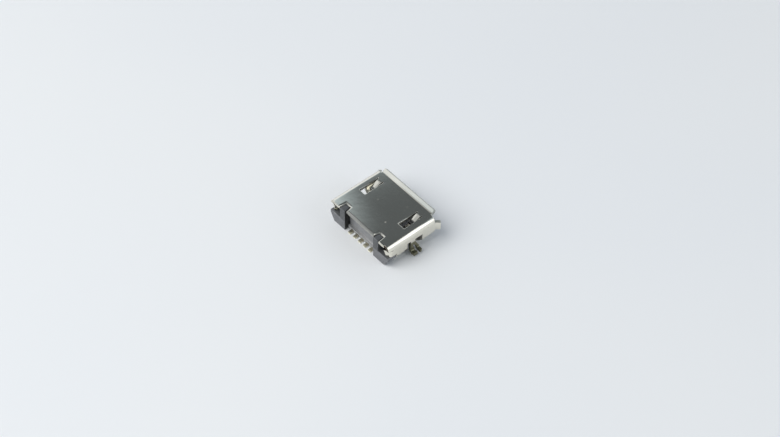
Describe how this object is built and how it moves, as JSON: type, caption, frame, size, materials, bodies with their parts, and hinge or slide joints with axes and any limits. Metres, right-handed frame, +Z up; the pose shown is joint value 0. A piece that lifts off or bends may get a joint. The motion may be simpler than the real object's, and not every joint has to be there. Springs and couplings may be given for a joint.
{
  "type": "micro usb socket",
  "caption": "Surface-mount micro B socket: a folded bright-plated shell with flared lips around a moulded housing with a tongue, sprung windows and a row of solder contacts.",
  "frame": {"origin": "on the centre line, on the underside of the shell's floor, halfway along the shell", "axes": "+X across the socket, -Y out of the plug mouth, +Z up from the circuit board"},
  "size_m": [0.0084, 0.0058, 0.003],
  "materials": {
    "shell": "bright plating on stamped steel sheet",
    "housing": "dark grey moulded plastic",
    "contact": "gold plating on stamped strip"
  },
  "bodies": {
    "root": {"shell": "shell", "housing": "housing", "contact_1": "contact", "contact_2": "contact", "contact_3": "contact", "contact_4": "contact", "contact_5": "contact"}
  },
  "joints": []
}
